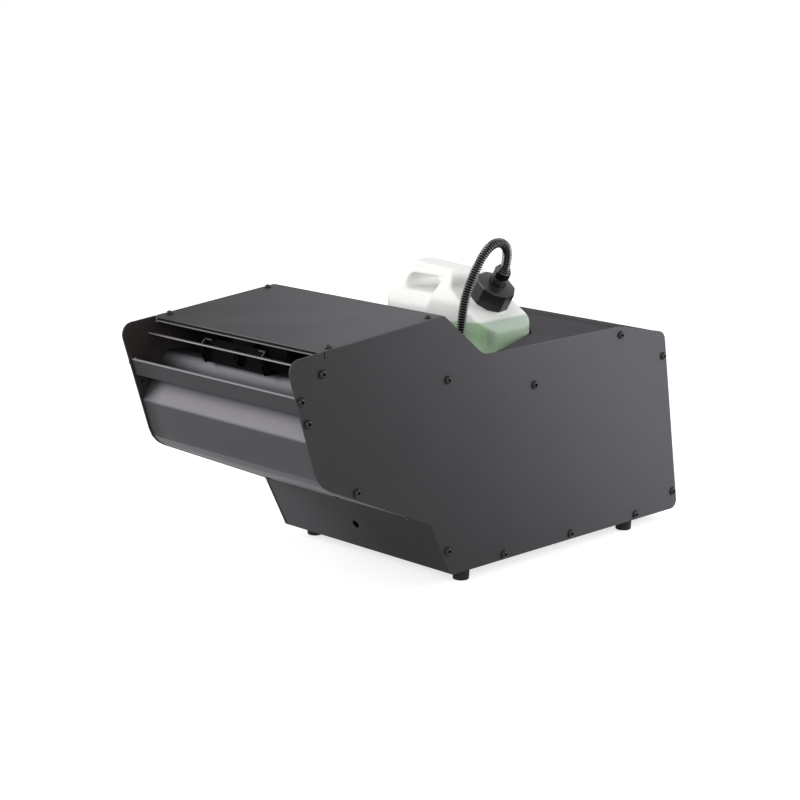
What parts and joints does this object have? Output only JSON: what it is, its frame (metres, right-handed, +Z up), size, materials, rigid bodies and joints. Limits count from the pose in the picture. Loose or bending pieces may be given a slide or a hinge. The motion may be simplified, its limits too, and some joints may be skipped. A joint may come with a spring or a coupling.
{
  "type": "fog machine",
  "caption": "Bench-style fog machine with a louvred outlet in an overhanging nose, a bottle of fluid in a rear bay with a pick-up hose, and controls on a leaning rear panel.",
  "frame": {"origin": "under the middle of the housing's footprint, on the surface the feet stand on", "axes": "+X towards the right-hand side panel, -Y towards the fog outlet, +Z up"},
  "size_m": [0.2706, 0.593, 0.3502],
  "materials": {
    "paint": "satin fine-texture powder coat",
    "paint_inner": "satin fine-texture powder coat",
    "screw_black": "blackened steel",
    "steel": "plain",
    "heater": "extruded",
    "rubber": "matt",
    "black_plastic": "moulded",
    "bottle": "translucent blow-moulded polyethylene",
    "fluid": "pale green fluid",
    "tube_clear": "translucent tube",
    "hose_black": "ribbed",
    "board": "circuit board",
    "rocker_red": "moulded",
    "window": "smoked window",
    "button_grey": "moulded"
  },
  "bodies": {
    "chassis": {"base_pan": "paint", "bay_liner": "paint_inner", "belly_panel": "paint", "bottle_cradle": "rubber", "control_board": "board", "data_inlet": "black_plastic", "data_outlet": "black_plastic", "display_window": "window", "fan_frame": "black_plastic", "fan_guard": "steel", "foot_front_left": "rubber", "foot_front_right": "rubber", "foot_rear_left": "rubber", "foot_rear_right": "rubber", "fuse_holder": "black_plastic", "heater_block": "heater", "heater_saddle_front": "steel", "heater_saddle_rear": "steel", "heater_shelf": "steel", "hose_grommet": "rubber", "louvre_lower": "paint", "louvre_upper": "paint", "lower_front_panel": "paint", "nozzle": "steel", "nozzle_bracket": "paint_inner", "power_inlet": "black_plastic", "pressure_line": "tube_clear", "pump": "black_plastic", "pump_bracket": "steel", "rear_cover": "paint", "rear_panel": "paint", "side_panel_left": "paint", "side_panel_right": "paint", "side_screw_left": "screw_black", "side_screw_right": "screw_black", "suction_line": "tube_clear", "switch_housing": "black_plastic", "thermostat": "black_plastic", "top_liner": "paint_inner", "top_plate": "paint", "top_screw_left": "screw_black", "top_screw_right": "screw_black", "transformer": "steel"},
    "bottle_body": {"bottle": "bottle", "fluid": "fluid", "hose_tail": "hose_black"},
    "pickup": {"hose": "hose_black", "hose_fitting": "black_plastic", "gland_nut": "black_plastic", "dip_tube": "tube_clear", "pickup_filter": "black_plastic"},
    "cap_body": {"cap": "black_plastic"},
    "fan_body": {"fan_rotor": "black_plastic"},
    "rocker_body": {"switch_rocker": "rocker_red"},
    "fuse_cap_body": {"fuse_cap": "black_plastic"},
    "button_1_body": {"button_1": "button_grey"},
    "button_2_body": {"button_2": "button_grey"},
    "button_3_body": {"button_3": "button_grey"},
    "button_4_body": {"button_4": "button_grey"}
  },
  "joints": [
    {"name": "bottle_lift", "type": "slide", "parent": "chassis", "child": "bottle_body", "axis": [0, 0, 1], "range_m": [0, 0.1]},
    {"name": "pickup_rise", "type": "slide", "parent": "bottle_body", "child": "pickup", "axis": [0.515, 0, 0.8572], "range_m": [0, 0.0051], "stiffness_N_per_m": 20, "springref_m": 0.0218},
    {"name": "cap_unscrew", "type": "hinge", "parent": "pickup", "child": "cap_body", "pos_m": [0.046, 0.0654, 0.27423], "axis": [0.515, 0, 0.8572], "range_deg": [0, 450]},
    {"name": "fan_spin", "type": "hinge", "parent": "chassis", "child": "fan_body", "pos_m": [-0.068, 0.26415, 0.12833], "axis": [0, 0.989, 0.1477], "continuous": true},
    {"name": "power_rocker", "type": "hinge", "parent": "chassis", "child": "rocker_body", "pos_m": [0.084, 0.28015, 0.09432], "axis": [1, 0, 0], "range_deg": [-14, 0]},
    {"name": "fuse_cap_turn", "type": "hinge", "parent": "chassis", "child": "fuse_cap_body", "pos_m": [0.05, 0.28932, 0.05524], "axis": [0, 0.989, 0.1477], "range_deg": [0, 90]},
    {"name": "button_1_press", "type": "slide", "parent": "chassis", "child": "button_1_body", "axis": [0, -0.989, -0.1477], "range_m": [0, 0.0012], "stiffness_N_per_m": 300, "springref_m": -0.002},
    {"name": "button_2_press", "type": "slide", "parent": "chassis", "child": "button_2_body", "axis": [0, -0.989, -0.1477], "range_m": [0, 0.0012], "stiffness_N_per_m": 300, "springref_m": -0.002},
    {"name": "button_3_press", "type": "slide", "parent": "chassis", "child": "button_3_body", "axis": [0, -0.989, -0.1477], "range_m": [0, 0.0012], "stiffness_N_per_m": 300, "springref_m": -0.002},
    {"name": "button_4_press", "type": "slide", "parent": "chassis", "child": "button_4_body", "axis": [0, -0.989, -0.1477], "range_m": [0, 0.0012], "stiffness_N_per_m": 300, "springref_m": -0.002}
  ],
  "couplings": [
    {"joint": "pickup_rise", "follows": "cap_unscrew", "m_per_rad": 0.00063662}
  ]
}
